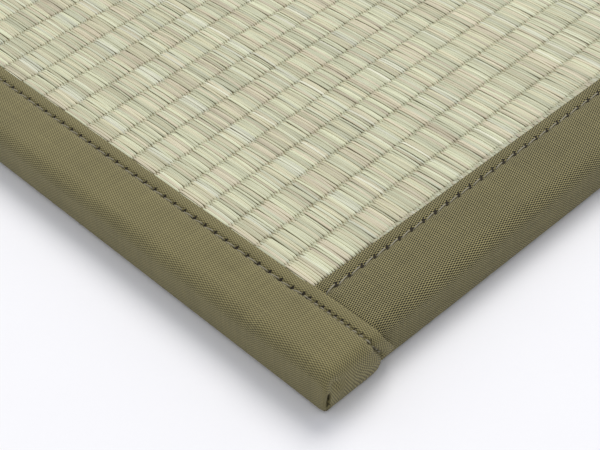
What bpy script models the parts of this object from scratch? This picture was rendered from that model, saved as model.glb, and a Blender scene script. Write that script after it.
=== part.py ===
"""Square tatami mat: a woven rush panel whose four edges are wrapped in sewn cloth borders.

Metres, +Z up, with the origin at the centre of the underside. The rush strands lie along Y and
the rows of the weave along X. Two side borders run along X. Two end borders run along Y, lap
over the side borders' ends and close each corner with a folded flap.
"""

import math

import bmesh
import bpy

# Whole mat
MAT_SIDE = 0.820
CROWN = 0.020  # height of a border's padded crown
GAP = 0.0003  # clearance between pieces that touch

# Cloth borders
CLOTH = 0.001
SIDE_WIDTH = 0.033
END_WIDTH = 0.030
TOP_ROUND = 0.006
BOTTOM_ROUND = 0.0035
CORNER_ROUND = 0.003
# Top of a border: (distance from the folded inner edge, depth below the crown)
TOP_PROFILE = (
    (0.0000, 0.0008),  # folded edge
    (0.0040, 0.0008),  # margin
    (0.0053, 0.0014),  # seam groove
    (0.0070, 0.0004),  # padded side of the seam
    (0.0110, 0.0000),  # crown
)

# Lap of an end border over a side border
LAP_RISE = CLOTH + GAP
LAP_RAMP = 0.004  # length over which the end border climbs onto the side border
SIDE_CUT_BACK = 0.008  # how far a side border stops short of the end face
PRESS_RAMP = 0.0017  # length over which the side border is pressed flat before the lap

# Rush panel
RUSH_CREST = 0.0187  # top of a row of the weave
RUSH_VALLEY = 0.0180  # bottom of the crease between rows
FIRST_ROW = 0.0175  # from the front side border to the first crease
ROW_PITCH = 0.0154
# Arch of a row: (share of the row's length, share of its height)
ROW_ARCH = ((0.0, 0.0), (0.12, 0.75), (0.5, 1.0), (0.88, 0.75))
RIM_CORNER = 0.005
RIM_TOP_ROUND = TOP_ROUND - LAP_RISE
RIM_BOTTOM_ROUND = BOTTOM_ROUND - LAP_RISE

HALF = MAT_SIDE / 2
END_REACH = HALF + LAP_RISE  # the flaps lie outside the side borders
SEAM_DEPTH = max(depth for _, depth in TOP_PROFILE)
ROUND_STEPS = 5


def cloth_material():
    """Plain-woven olive cloth."""
    return material("border_cloth", (0.196, 0.175, 0.093), 0.85)


def rush_material():
    """Dried rush, pale green to straw."""
    return material("rush", (0.54, 0.53, 0.38), 0.6)


def material(name, colour, roughness):
    """A Principled material, made once and shared."""
    found = bpy.data.materials.get(name)
    if found:
        return found
    made = bpy.data.materials.new(name)
    made.use_nodes = True
    shader = made.node_tree.nodes["Principled BSDF"]
    shader.inputs["Base Color"].default_value = (*colour, 1.0)
    shader.inputs["Roughness"].default_value = roughness
    shader.inputs["Metallic"].default_value = 0.0
    return made


def add_object(name, mesh, finish):
    """Puts a mesh in the scene as an object with one material, its round stretches smooth."""
    mesh.materials.append(finish)
    mesh.shade_smooth()
    mesh.set_sharp_from_angle(angle=math.radians(35))
    piece = bpy.data.objects.new(name, mesh)
    bpy.context.collection.objects.link(piece)
    return piece


def loft(name, rings):
    """A closed mesh through rings with the same number of points, flat over both ends."""
    count = len(rings[0])
    faces = [tuple(range(count)), tuple(range((len(rings) - 1) * count, len(rings) * count))]
    for row in range(len(rings) - 1):
        for column in range(count):
            corners = ((row, column), (row, column + 1), (row + 1, column + 1), (row + 1, column))
            faces.append(tuple(r * count + c % count for r, c in corners))
    mesh = bpy.data.meshes.new(name)
    mesh.from_pydata([point for ring in rings for point in ring], [], faces)
    working = bmesh.new()
    working.from_mesh(mesh)
    bmesh.ops.recalc_face_normals(working, faces=working.faces)
    working.to_mesh(mesh)
    working.free()
    return mesh


def box(name, low, high):
    """A closed box between two corners."""
    ring = ((low[1], low[2]), (high[1], low[2]), (high[1], high[2]), (low[1], high[2]))
    return loft(name, [[(x, y, z) for y, z in ring] for x in (low[0], high[0])])


def combine(piece, operation, other):
    """Adds an exact Boolean with a tool object, which stays in the scene as a guide."""
    change = piece.modifiers.new(operation.lower(), "BOOLEAN")
    change.operation = operation
    change.solver = "EXACT"
    change.object = other
    other.hide_render = True
    other.display_type = "WIRE"


def arc(centre, radius, start, end):
    """(inward, z) points along an arc, its angles in degrees, both ends included."""
    angles = (math.radians(start + (end - start) * i / ROUND_STEPS) for i in range(ROUND_STEPS + 1))
    return [(centre[0] + radius * math.cos(a), centre[1] + radius * math.sin(a)) for a in angles]


def wrap_path(width, top, bottom=0.0, inset=0.0, past=0.0, pressed=False):
    """(inward, z) points of a border: over its top, down its face and under to the fold.

    Inward is measured from the outer face. inset moves the path into the cloth, past carries its
    ends beyond the folded edge, and pressed lays the whole top as low as the seam.
    """
    sink = SEAM_DEPTH if pressed else 0.0
    points = [(width - from_fold, top - max(depth, sink) - inset) for from_fold, depth in TOP_PROFILE]
    points[0] = (width + past, points[0][1])
    points += arc((TOP_ROUND, top - sink - TOP_ROUND), TOP_ROUND - inset, 90, 180)
    points += arc((BOTTOM_ROUND, bottom + BOTTOM_ROUND), BOTTOM_ROUND - inset, 180, 270)
    points.append((width + past, bottom + inset))
    return points


def fall(distance, radius):
    """How far an edge of this radius has rounded off at a distance from its face."""
    if distance >= radius:
        return 0.0
    return radius - math.sqrt(radius**2 - (radius - distance) ** 2)


def end_ring(y, inset, past):
    """Section of an end border across X, as it climbs the lap and rounds off at its ends."""
    from_end = END_REACH - abs(y) - inset
    lap_start = HALF - SIDE_WIDTH - GAP
    climbed = (abs(y) - (lap_start - LAP_RAMP)) / LAP_RAMP
    lift = LAP_RISE * min(max(climbed, 0.0), 1.0)
    top = CROWN + lift - fall(from_end, TOP_ROUND + LAP_RISE - inset)
    bottom = fall(from_end, BOTTOM_ROUND - inset)
    set_back = fall(from_end, CORNER_ROUND - inset)
    path = wrap_path(END_WIDTH - set_back, top, bottom, inset, past)
    return [(-HALF + set_back + inward, y, z) for inward, z in path]


def end_form(name, inset, past):
    """The whole outline of an end border, or with an inset the hollow inside its cloth."""
    radius = TOP_ROUND + LAP_RISE - inset
    turns = (math.radians(90 * i / ROUND_STEPS) for i in range(ROUND_STEPS + 1))
    from_end = [inset + radius * (1 - math.cos(turn)) for turn in turns]
    lap_start = HALF - SIDE_WIDTH - GAP
    places = [END_REACH - distance for distance in from_end] + [lap_start, lap_start - LAP_RAMP]
    places += [-place for place in reversed(places)]
    return loft(name, [end_ring(y, inset, past) for y in places])


def end_border(name, turn):
    """An end border: its outline with the panel and the side borders' ends hollowed out."""
    piece = add_object(name, end_form(name, 0.0, 0.0), cloth_material())
    hollow = add_object(name + "_hollow", end_form(name + "_hollow", CLOTH, CLOTH), cloth_material())
    for part in (piece, hollow):
        part.rotation_euler.z = turn
    combine(piece, "DIFFERENCE", hollow)


def side_ring(x, pressed):
    """Section of a side border across Y, as one closed outline of its cloth."""
    outer = wrap_path(SIDE_WIDTH, CROWN, pressed=pressed)
    inner = wrap_path(SIDE_WIDTH, CROWN, inset=CLOTH, pressed=pressed)
    return [(x, -HALF + inward, z) for inward, z in outer + inner[::-1]]


def side_border(name, turn):
    """A side border, pressed flat at its ends and cut away there below the end borders."""
    lap = HALF - END_WIDTH - GAP
    stations = ((HALF - SIDE_CUT_BACK, True), (lap, True), (lap - PRESS_RAMP, False))
    rings = [side_ring(x, pressed) for x, pressed in stations]
    rings += [side_ring(-x, pressed) for x, pressed in reversed(stations)]
    piece = add_object(name, loft(name, rings), cloth_material())
    piece.rotation_euler.z = turn
    for side, low, high in (("left", -HALF, -lap), ("right", lap, HALF)):
        corners = ((low, -HALF - CLOTH, -CLOTH), (high, -HALF + SIDE_WIDTH + CLOTH, BOTTOM_ROUND + GAP))
        cutter_name = f"{name}_{side}_trim"
        cutter = add_object(cutter_name, box(cutter_name, *corners), cloth_material())
        cutter.rotation_euler.z = turn
        combine(piece, "DIFFERENCE", cutter)


def rim_block(name):
    """The panel's full square, low enough to lie inside the borders, with rounded edges."""
    half = HALF - LAP_RISE
    top = CROWN - SEAM_DEPTH - LAP_RISE
    block = box(name, (-half, -half, LAP_RISE), (half, half, top))
    working = bmesh.new()
    working.from_mesh(block)
    middle = (LAP_RISE + top) / 2
    upright = [e for e in working.edges if abs(e.verts[0].co.z - e.verts[1].co.z) > GAP]
    bmesh.ops.bevel(working, geom=upright, offset=RIM_CORNER, segments=ROUND_STEPS, affect="EDGES", profile=0.5)
    for radius, above in ((RIM_TOP_ROUND, True), (RIM_BOTTOM_ROUND, False)):
        level = [
            e
            for e in working.edges
            if all((v.co.z > middle) == above and len(v.link_faces) == 3 for v in e.verts)
            and abs(e.verts[0].co.z - e.verts[1].co.z) < GAP
        ]
        bmesh.ops.bevel(working, geom=level, offset=radius, segments=ROUND_STEPS, affect="EDGES", profile=0.5)
    working.to_mesh(block)
    working.free()
    return block


def rush_profile():
    """(y, z) points over the rows of the weave, from the front border to the back one."""
    edge = HALF - SIDE_WIDTH - GAP
    rise = RUSH_CREST - RUSH_VALLEY
    points = []
    row_start = -HALF + SIDE_WIDTH + FIRST_ROW - ROW_PITCH
    while row_start < edge:
        for along, height in ROW_ARCH:
            y = row_start + along * ROW_PITCH
            if -edge + ROW_ARCH[1][0] * ROW_PITCH < y < edge:
                points.append((y, RUSH_VALLEY + height * rise))
        row_start += ROW_PITCH
    return [(-edge, points[0][1])] + points + [(edge, points[-1][1])]


def rush_field(name):
    """The open middle of the panel: flat underneath, with the weave's rows on top."""
    half = HALF - END_WIDTH - GAP
    profile = rush_profile()
    outline = profile + [(profile[-1][0], 0.0), (profile[0][0], 0.0)]
    return loft(name, [[(x, y, z) for y, z in outline] for x in (-half, half)])


def rush_panel():
    """The woven panel with its core: a low rim inside the borders, joined to the open field."""
    panel = add_object("rush_panel", rim_block("rush_panel"), rush_material())
    field = add_object("rush_panel_field", rush_field("rush_panel_field"), rush_material())
    combine(panel, "UNION", field)


def main():
    """Builds the whole mat."""
    for old in list(bpy.data.objects):
        bpy.data.objects.remove(old, do_unlink=True)
    rush_panel()
    side_border("side_border_front", 0.0)
    side_border("side_border_back", math.pi)
    end_border("end_border_left", 0.0)
    end_border("end_border_right", math.pi)


if __name__ == "__main__":
    main()
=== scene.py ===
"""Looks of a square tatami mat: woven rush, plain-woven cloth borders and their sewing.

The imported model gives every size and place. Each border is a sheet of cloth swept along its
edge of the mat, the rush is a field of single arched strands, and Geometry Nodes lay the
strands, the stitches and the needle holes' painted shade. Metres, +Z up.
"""

import logging
import math
from dataclasses import dataclass, field
from enum import Enum
from typing import Optional, Sequence, Union

import bpy
from mathutils import Matrix, Vector, noise


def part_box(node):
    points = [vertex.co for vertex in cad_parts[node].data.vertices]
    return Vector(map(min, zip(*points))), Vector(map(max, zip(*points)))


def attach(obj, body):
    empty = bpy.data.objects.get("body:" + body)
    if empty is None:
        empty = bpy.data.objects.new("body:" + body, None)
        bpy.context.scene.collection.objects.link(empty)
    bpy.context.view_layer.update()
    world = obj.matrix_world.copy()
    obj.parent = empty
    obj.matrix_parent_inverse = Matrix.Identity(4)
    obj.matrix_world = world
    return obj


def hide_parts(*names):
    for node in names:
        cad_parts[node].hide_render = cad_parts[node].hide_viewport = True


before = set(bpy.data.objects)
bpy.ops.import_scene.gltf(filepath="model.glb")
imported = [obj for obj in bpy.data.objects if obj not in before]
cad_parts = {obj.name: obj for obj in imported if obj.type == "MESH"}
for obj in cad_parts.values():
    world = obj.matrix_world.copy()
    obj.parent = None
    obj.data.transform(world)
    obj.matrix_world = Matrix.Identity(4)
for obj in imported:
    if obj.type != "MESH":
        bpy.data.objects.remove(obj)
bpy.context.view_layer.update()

BODY = "root"
MM = 0.001

Socket = bpy.types.NodeSocket
Value = Union[Socket, float, int, Sequence[float], str, bool]
Point = tuple[float, float, float]
Spot = tuple[float, float, float, float, float]

log = logging.getLogger("tatami_mat")


@dataclass(frozen=True)
class Tint:
    """A colour in linear light."""

    red: float
    green: float
    blue: float

    def rgba(self) -> tuple[float, float, float, float]:
        """Returns the colour with an alpha of 1."""
        return (self.red, self.green, self.blue, 1.0)


class NodeWriter:
    """Adds nodes to a shader or geometry tree and links them as they are named."""

    def __init__(self, tree: bpy.types.NodeTree) -> None:
        """Keeps the tree that the nodes go into."""
        self.tree = tree

    def node(
        self, kind: str, inputs: Optional[dict[Union[str, int], Value]] = None, **settings: object
    ) -> bpy.types.Node:
        """Adds one node.

        Args:
            kind: the node's type name.
            inputs: what each input is set to or linked from, by name or place.
            settings: properties of the node itself.

        Returns:
            The new node.
        """
        made = self.tree.nodes.new(kind)
        for name, setting in settings.items():
            setattr(made, name, setting)
        for name, value in (inputs or {}).items():
            if isinstance(value, bpy.types.NodeSocket):
                self.tree.links.new(value, made.inputs[name])
            else:
                made.inputs[name].default_value = value
        return made

    def math(self, operation: str, *values: Value, clamp: bool = False) -> Socket:
        """Adds a Math node.

        Args:
            operation: what the node works out.
            values: its one, two or three numbers or sockets.
            clamp: whether the result is kept between 0 and 1.

        Returns:
            The result's socket.
        """
        inputs = dict(enumerate(values))
        return self.node("ShaderNodeMath", inputs, operation=operation, use_clamp=clamp).outputs[0]

    def times(self, *values: Value) -> Socket:
        """Returns the first value times the second, plus the third where one is given."""
        return self.math("MULTIPLY" if len(values) == 2 else "MULTIPLY_ADD", *values)

    def plus(self, first: Value, second: Value) -> Socket:
        """Returns the sum of two values."""
        return self.math("ADD", first, second)

    def minus(self, first: Value, second: Value) -> Socket:
        """Returns the first value less the second."""
        return self.math("SUBTRACT", first, second)

    def vector(self, x: Value = 0.0, y: Value = 0.0, z: Value = 0.0) -> Socket:
        """Adds a Combine XYZ node and returns its vector."""
        return self.node("ShaderNodeCombineXYZ", {"X": x, "Y": y, "Z": z}).outputs[0]

    def noise(self, vector: Value, scale: float = 1.0, detail: float = 2.0) -> Socket:
        """Adds a Noise Texture and returns its level, about 0.5 on average."""
        inputs = {"Vector": vector, "Scale": scale, "Detail": detail}
        return self.node("ShaderNodeTexNoise", inputs).outputs[0]

    def random(self, low: float, high: float, seed: Value, who: Optional[Socket] = None) -> Socket:
        """Adds a Random Value node.

        Args:
            low: the least value.
            high: the greatest value.
            seed: the draw's seed.
            who: what the draw is for, or nothing for each point's own number.

        Returns:
            The value's socket.
        """
        inputs = {2: low, 3: high, "Seed": seed}
        if who is not None:
            inputs["ID"] = who
        return self.node("FunctionNodeRandomValue", inputs, data_type="FLOAT").outputs[1]

    def multiplied(self, colour: Value, other: Value) -> Socket:
        """Adds a Mix node that multiplies two colours, and returns the result."""
        inputs = {0: 1.0, 6: colour, 7: other}
        return self.node("ShaderNodeMix", inputs, data_type="RGBA", blend_type="MULTIPLY").outputs[2]

    def dimmed(self, colour: Value, level: Socket) -> Socket:
        """Returns a colour times a grey level."""
        return self.multiplied(colour, self.vector(level, level, level))

    def ramp(self, value: Socket, stops: Sequence[tuple[float, Tint]]) -> Socket:
        """Adds a Color Ramp node.

        Args:
            value: the place on the ramp.
            stops: places and their colours, from the lowest up.

        Returns:
            The colour's socket.
        """
        made = self.node("ShaderNodeValToRGB", {0: value})
        elements = made.color_ramp.elements
        while len(elements) < len(stops):
            elements.new(0.5)
        for element, (place, tint) in zip(elements, stops):
            element.position = place
            element.color = tint.rgba()
        return made.outputs[0]


class Finish:
    """A material that is built once and shared."""

    name: str
    roughness: float
    relief: float  # height of the bump
    bump_strength: float = 1.0
    specular: float = 0.5
    sheen: float = 0.0
    sheen_roughness: float = 0.5

    def material(self) -> bpy.types.Material:
        """Returns the material, and builds it the first time.

        Returns:
            The material.
        """
        found = bpy.data.materials.get(self.name)
        if found:
            return found
        made = bpy.data.materials.new(self.name)
        made.use_nodes = True
        nodes = NodeWriter(made.node_tree)
        shader = made.node_tree.nodes["Principled BSDF"]
        colour, height = self.look(nodes)
        inputs = {"Strength": self.bump_strength, "Distance": self.relief, "Height": height}
        bump = nodes.node("ShaderNodeBump", inputs)
        made.node_tree.links.new(colour, shader.inputs["Base Color"])
        made.node_tree.links.new(bump.outputs[0], shader.inputs["Normal"])
        shader.inputs["Roughness"].default_value = self.roughness
        shader.inputs["Specular IOR Level"].default_value = self.specular
        shader.inputs["Sheen Weight"].default_value = self.sheen
        shader.inputs["Sheen Roughness"].default_value = self.sheen_roughness
        return made

    def look(self, nodes: NodeWriter) -> tuple[Socket, Socket]:
        """Adds the finish's own nodes.

        Args:
            nodes: writes into the material's tree.

        Returns:
            The colour, and the height of the relief.
        """
        raise NotImplementedError


@dataclass(frozen=True)
class ClothFinish(Finish):
    """Plain-woven cloth, read from a UV map in metres: U along the warp and V across it."""

    name: str
    colour: Tint = Tint(0.172, 0.150, 0.066)
    warp_pitch: float = 0.467 * MM
    weft_pitch: float = 1.11 * MM
    painted_light_contrast: float = 1.0  # painted light and shade between the warp's floats and the weft's
    crispness: float = 4.0
    yarn_contrast: float = 0.9  # between one yarn and the next
    waver_scale: float = 260.0
    waver: float = 0.5  # how far the warp strays, in yarns
    cloud_scale: float = 45.0
    warp_run: float = 0.04  # how soon a yarn's tone changes along it
    weft_run: float = 0.02
    warp_share: float = 0.5  # of the unevenness in tone
    weft_share: float = 0.35
    cloud_share: float = 0.25
    rounding: float = 0.6  # share of the relief that all floats have, warp or weft
    relief: float = 0.30 * MM
    roughness: float = 0.78
    specular: float = 0.3
    sheen: float = 0.08
    sheen_roughness: float = 0.45
    uv_map: str = "cloth"

    def look(self, nodes: NodeWriter) -> tuple[Socket, Socket]:
        """Builds the weave's floats with their painted light and shade, its yarns' unevenness and its relief.

        Args:
            nodes: writes into the material's tree.

        Returns:
            The colour, and the height of the relief.
        """
        place = nodes.node("ShaderNodeUVMap", uv_map=self.uv_map).outputs[0]
        split = nodes.node("ShaderNodeSeparateXYZ", {0: place})
        along = nodes.math("DIVIDE", split.outputs[0], self.weft_pitch)
        across = nodes.math("DIVIDE", split.outputs[1], self.warp_pitch)
        across = nodes.times(nodes.noise(place, self.waver_scale), self.waver, across)
        weft_wave = nodes.math("SINE", nodes.times(along, math.pi))
        warp_wave = nodes.math("SINE", nodes.times(across, math.pi))
        over = nodes.times(weft_wave, warp_wave)

        warp_yarn = nodes.noise(nodes.vector(nodes.times(along, self.warp_run), across), detail=1.0)
        weft_yarn = nodes.noise(nodes.vector(along, nodes.times(across, self.weft_run), 7.0), detail=1.0)
        cloudy = nodes.noise(place, self.cloud_scale, 3.0)
        weft_level = nodes.times(weft_yarn, self.weft_share)
        yarns = nodes.plus(nodes.times(warp_yarn, self.warp_share, 0.25), weft_level)
        yarns = nodes.times(cloudy, self.cloud_share, nodes.minus(yarns, 0.05))
        yarns = nodes.times(yarns, self.yarn_contrast, 0.9 - 0.5 * self.yarn_contrast)
        # Painted light on the floats of one yarn and painted shade on the other's, squared off by the
        # crispness
        crisp = nodes.math("MINIMUM", nodes.times(over, self.crispness), 1.0)
        crisp = nodes.math("MAXIMUM", crisp, -1.0)
        level = nodes.times(yarns, nodes.times(crisp, self.painted_light_contrast, 1.0))
        height = nodes.times(over, 1.0 - self.rounding)
        height = nodes.times(nodes.math("ABSOLUTE", over), self.rounding, height)
        return nodes.dimmed(self.colour.rgba(), level), height


@dataclass(frozen=True)
class RushFinish(Finish):
    """Dried rush: each strand's own tone, cloudy along its length, with a satin skin, and painted shade at
    its sides and ends with a painted highlight on one flank.
    """

    name: str = "dried_rush"
    roughness: float = 0.5
    specular: float = 0.28
    relief: float = 0.06 * MM
    bump_strength: float = 0.5
    tone_attribute: str = "tone"
    # The shade attribute holds each float's own random level, less a painted shade on the short strands
    shade_attribute: str = "shade"
    uv_map: str = "strand"  # U across a strand, V along it
    streak_scale: Point = (1600.0, 60.0, 400.0)
    cloud_scale: float = 90.0
    cloudiness: float = 0.24  # how far a strand's tone strays along it
    streak_level: tuple[float, float] = (0.22, 1.03)  # gain and base
    shade_level: tuple[float, float] = (0.34, 0.84)
    end_power: float = 12.0  # how near its ends the painted shade darkens a strand, where it dives under the next row
    end_shade: float = 0.3
    # Tones of the strands: (share of the range, colour)
    tones: tuple[tuple[float, Tint], ...] = (
        (0.00, Tint(0.57, 0.51, 0.37)),
        (0.16, Tint(0.67, 0.61, 0.46)),
        (0.36, Tint(0.64, 0.615, 0.43)),
        (0.54, Tint(0.605, 0.61, 0.44)),
        (0.72, Tint(0.69, 0.70, 0.50)),
        (0.88, Tint(0.68, 0.69, 0.55)),
        (1.00, Tint(0.77, 0.76, 0.61)),
    )
    # Levels across a strand: painted shade at both sides, where the neighbours meet, a painted highlight on
    # its right flank, and a faint line near its middle
    across: tuple[tuple[float, Tint], ...] = (
        (0.00, Tint(0.32, 0.30, 0.24)),
        (0.10, Tint(0.52, 0.50, 0.44)),
        (0.21, Tint(0.85, 0.85, 0.84)),
        (0.37, Tint(0.92, 0.92, 0.92)),
        (0.45, Tint(0.66, 0.66, 0.62)),
        (0.54, Tint(0.94, 0.94, 0.94)),
        (0.77, Tint(1.00, 1.00, 1.00)),
        (0.90, Tint(0.48, 0.46, 0.39)),
        (1.00, Tint(0.28, 0.25, 0.19)),
    )

    def look(self, nodes: NodeWriter) -> tuple[Socket, Socket]:
        """Builds the tones, the streaks along a strand, its fine ribs, and the painted shade and painted
        highlight across it and at its ends.

        Args:
            nodes: writes into the material's tree.

        Returns:
            The colour, and the height of the relief.
        """
        tone = nodes.node("ShaderNodeAttribute", attribute_name=self.tone_attribute).outputs["Fac"]
        shade = nodes.node("ShaderNodeAttribute", attribute_name=self.shade_attribute).outputs["Fac"]
        place = nodes.node("ShaderNodeTexCoord").outputs["Object"]
        stretch = nodes.node("ShaderNodeMapping", {"Vector": place, "Scale": self.streak_scale}).outputs[0]
        streak = nodes.noise(stretch)
        cloudy = nodes.noise(place, self.cloud_scale)
        stray = nodes.times(cloudy, self.cloudiness, -0.5 * self.cloudiness)
        own = nodes.ramp(nodes.plus(tone, stray), self.tones)
        strand = nodes.node("ShaderNodeUVMap", uv_map=self.uv_map).outputs[0]
        split = nodes.node("ShaderNodeSeparateXYZ", {0: strand}).outputs
        # Painted shade towards both ends of a strand, where it dives under the next row
        end = nodes.math("ABSOLUTE", nodes.times(split[1], 2.0, -1.0))
        end = nodes.times(nodes.math("POWER", end, self.end_power), -self.end_shade, 1.0)
        level = nodes.times(nodes.times(streak, *self.streak_level), nodes.times(shade, *self.shade_level))
        colour = nodes.dimmed(own, nodes.times(level, end))
        # Painted shade at the strand's sides and a painted highlight on its right flank, from the across ramp
        return nodes.multiplied(colour, nodes.ramp(split[0], self.across)), streak


@dataclass(frozen=True)
class PlainFinish(Finish):
    """An even material with a little cloudiness and grain."""

    name: str
    colour: Tint
    roughness: float
    cloudiness: float
    grain_scale: float
    relief: float
    cloud_scale: float = 40.0

    def look(self, nodes: NodeWriter) -> tuple[Socket, Socket]:
        """Builds the clouds and the grain.

        Args:
            nodes: writes into the material's tree.

        Returns:
            The colour, and the height of the relief.
        """
        place = nodes.node("ShaderNodeTexCoord").outputs["Object"]
        cloudy = nodes.noise(place, self.cloud_scale, 4.0)
        fine = nodes.noise(place, self.grain_scale, 3.0)
        level = nodes.times(nodes.plus(cloudy, fine), self.cloudiness, 1.0 - self.cloudiness)
        return nodes.dimmed(self.colour.rgba(), level), fine


class Cloth(Enum):
    """The border cloth in two copies, with painted light and shade in the weave: crisp on the sides, which
    lie across the window's light, and soft on the ends, which lie along it.
    """

    SIDES = ClothFinish("woven_cloth_sides", yarn_contrast=1.1)
    ENDS = ClothFinish(
        "woven_cloth_ends", Tint(0.169, 0.147, 0.065), painted_light_contrast=0.62, crispness=1.8, yarn_contrast=1.0,
        relief=0.14 * MM,
    )


class Plain(Enum):
    """The even finishes."""

    THREAD = PlainFinish("sewing_thread", Tint(0.29, 0.265, 0.185), 0.6, 0.25, 2500.0, 0.08 * MM)
    # Painted shade: the near-black colour inside a needle hole
    HOLE = PlainFinish("needle_hole", Tint(0.027, 0.021, 0.012), 0.95, 0.3, 900.0, 0.02 * MM)
    # Painted shade: the dark ground that shows in the gaps between the rush strands
    GROUND = PlainFinish("rush_ground", Tint(0.25, 0.215, 0.12), 0.9, 0.4, 700.0, 0.1 * MM)
    BACKING = PlainFinish("backing_cloth", Tint(0.42, 0.40, 0.35), 0.9, 0.15, 1400.0, 0.12 * MM)
    FLOOR = PlainFinish("floor_paper", Tint(0.93, 0.925, 0.945), 0.9, 0.012, 600.0, 0.04 * MM)


def keep(name: str, data: Optional[bpy.types.ID]) -> bpy.types.Object:
    """Puts a piece in the scene at the origin.

    Args:
        name: the piece's name.
        data: its mesh, curve, lamp or camera.

    Returns:
        The new object.
    """
    piece = bpy.data.objects.new(name, data)
    bpy.context.collection.objects.link(piece)
    return piece


def new_mesh(name: str, points: Sequence[Point], faces: Sequence[tuple[int, ...]]) -> bpy.types.Mesh:
    """Builds a mesh.

    Args:
        name: the mesh's name.
        points: its corners.
        faces: the numbers of each face's corners.

    Returns:
        The new mesh.
    """
    mesh = bpy.data.meshes.new(name)
    mesh.from_pydata(points, [], faces)
    return mesh


def dress(piece: bpy.types.Object, finish: bpy.types.Material) -> None:
    """Gives a piece one material and no other."""
    piece.data.materials.clear()
    piece.data.materials.append(finish)


def settle(piece: bpy.types.Object) -> bpy.types.Object:
    """Applies a piece's modifiers, so that a plain mesh is left.

    Args:
        piece: the object that carries the modifiers.

    Returns:
        A new object of the same name with the finished mesh.
    """
    name = piece.name
    bpy.context.view_layer.update()
    graph = bpy.context.evaluated_depsgraph_get()
    shape = piece.evaluated_get(graph)
    mesh = bpy.data.meshes.new_from_object(shape, preserve_all_data_layers=True, depsgraph=graph)
    bpy.data.objects.remove(piece, do_unlink=True)
    mesh.name = name
    return keep(name, mesh)


def thickened(name: str, skin: bpy.types.Mesh, thickness: float) -> bpy.types.Object:
    """Turns an outer skin into a sheet with a real thickness.

    Args:
        name: the sheet's name.
        skin: its outer side, with faces pointing out.
        thickness: how thick it is, inwards.

    Returns:
        The finished sheet.
    """
    piece = keep(name, skin)
    shell = piece.modifiers.new("thickness", "SOLIDIFY")
    shell.thickness = thickness
    shell.offset = -1.0
    return settle(piece)


def start_tree(name: str, inputs: dict[str, str]) -> tuple[NodeWriter, bpy.types.bpy_prop_collection]:
    """Starts a Geometry Nodes tree.

    Args:
        name: the tree's name.
        inputs: the kinds of its inputs, by their names.

    Returns:
        What writes into the tree, and the sockets of its inputs.
    """
    tree = bpy.data.node_groups.new(name, "GeometryNodeTree")
    for label, kind in inputs.items():
        tree.interface.new_socket(label, in_out="INPUT", socket_type=f"NodeSocket{kind}")
    tree.interface.new_socket("Laid", in_out="OUTPUT", socket_type="NodeSocketGeometry")
    nodes = NodeWriter(tree)
    return nodes, nodes.node("NodeGroupInput").outputs


def end_tree(nodes: NodeWriter, laid: Socket, finish: Socket) -> bpy.types.NodeTree:
    """Ends a tree: makes its instances real and gives them their material.

    Args:
        nodes: writes into the tree.
        laid: the instances.
        finish: the material.

    Returns:
        The tree.
    """
    real = nodes.node("GeometryNodeRealizeInstances", {0: laid}).outputs[0]
    dressed = nodes.node("GeometryNodeSetMaterial", {"Geometry": real, "Material": finish}).outputs[0]
    nodes.node("NodeGroupOutput", {0: dressed})
    return nodes.tree


def laid_by_nodes(
    name: str, tree: bpy.types.NodeTree, inputs: dict[str, object], carrier: Optional[bpy.types.ID] = None
) -> bpy.types.Object:
    """Runs a Geometry Nodes tree and keeps what it makes as a plain mesh.

    Args:
        name: the new piece's name.
        tree: the tree.
        inputs: the modifier's inputs, by their names.
        carrier: the mesh or curve that the tree starts from.

    Returns:
        The new piece.
    """
    piece = keep(name, carrier or bpy.data.meshes.new(name))
    modifier = piece.modifiers.new(name, "NODES")
    modifier.node_group = tree
    for item in tree.interface.items_tree:
        if item.in_out == "INPUT" and item.name in inputs:
            modifier[item.identifier] = inputs[item.name]
    made = settle(piece)
    dress(made, inputs["Finish"])
    return made


def grid_mesh(name: str, rows: Sequence[Sequence[Optional[Spot]]], uv_name: str) -> bpy.types.Mesh:
    """Builds a sheet from rows of spots, with faces wherever four neighbours are given.

    Args:
        name: the mesh's name.
        rows: spots as (x, y, z, u, v), or None where the sheet has no point.
        uv_name: the name of the UV map that takes u and v.

    Returns:
        The new mesh.
    """
    points: list[Point] = []
    maps: list[tuple[float, float]] = []
    numbers: list[list[Optional[int]]] = []
    for row in rows:
        numbers.append([])
        for spot in row:
            numbers[-1].append(None if spot is None else len(points))
            if spot is not None:
                points.append(spot[:3])
                maps.append(spot[3:])
    faces = []
    for low, high in zip(numbers, numbers[1:]):
        for i in range(len(low) - 1):
            corners = (low[i], low[i + 1], high[i + 1], high[i])
            if None not in corners:
                faces.append(corners)
    mesh = new_mesh(name, points, faces)
    layer = mesh.uv_layers.new(name=uv_name)
    for loop, uv in zip(mesh.loops, layer.data):
        uv.uv = maps[loop.vertex_index]
    mesh.shade_smooth()
    return mesh


def smooth(start: float, end: float, value: float) -> float:
    """Returns 0 before start, 1 after end, and an easy rise between them."""
    share = min(max((value - start) / (end - start), 0.0), 1.0)
    return share * share * (3.0 - 2.0 * share)


def fall(distance: float, radius: float) -> float:
    """Works out the drop of a rounded edge.

    Args:
        distance: how far from the face that it rounds into.
        radius: the edge's radius.

    Returns:
        How far the edge has dropped there.
    """
    if distance >= radius:
        return 0.0
    return radius - math.sqrt(max(radius**2 - (radius - max(distance, 0.0)) ** 2, 0.0))


def uneven(place: Point, wavelength: float, height: float) -> float:
    """Returns a soft random rise or drop at a place."""
    return height * noise.noise(Vector(place) / wavelength)


def lengths(points: Sequence[tuple[float, float]]) -> list[float]:
    """Measures along a path.

    Args:
        points: the path's points.

    Returns:
        The running length at each point.
    """
    run = [0.0]
    for (x0, z0), (x1, z1) in zip(points, points[1:]):
        run.append(run[-1] + math.hypot(x1 - x0, z1 - z0))
    return run


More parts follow.
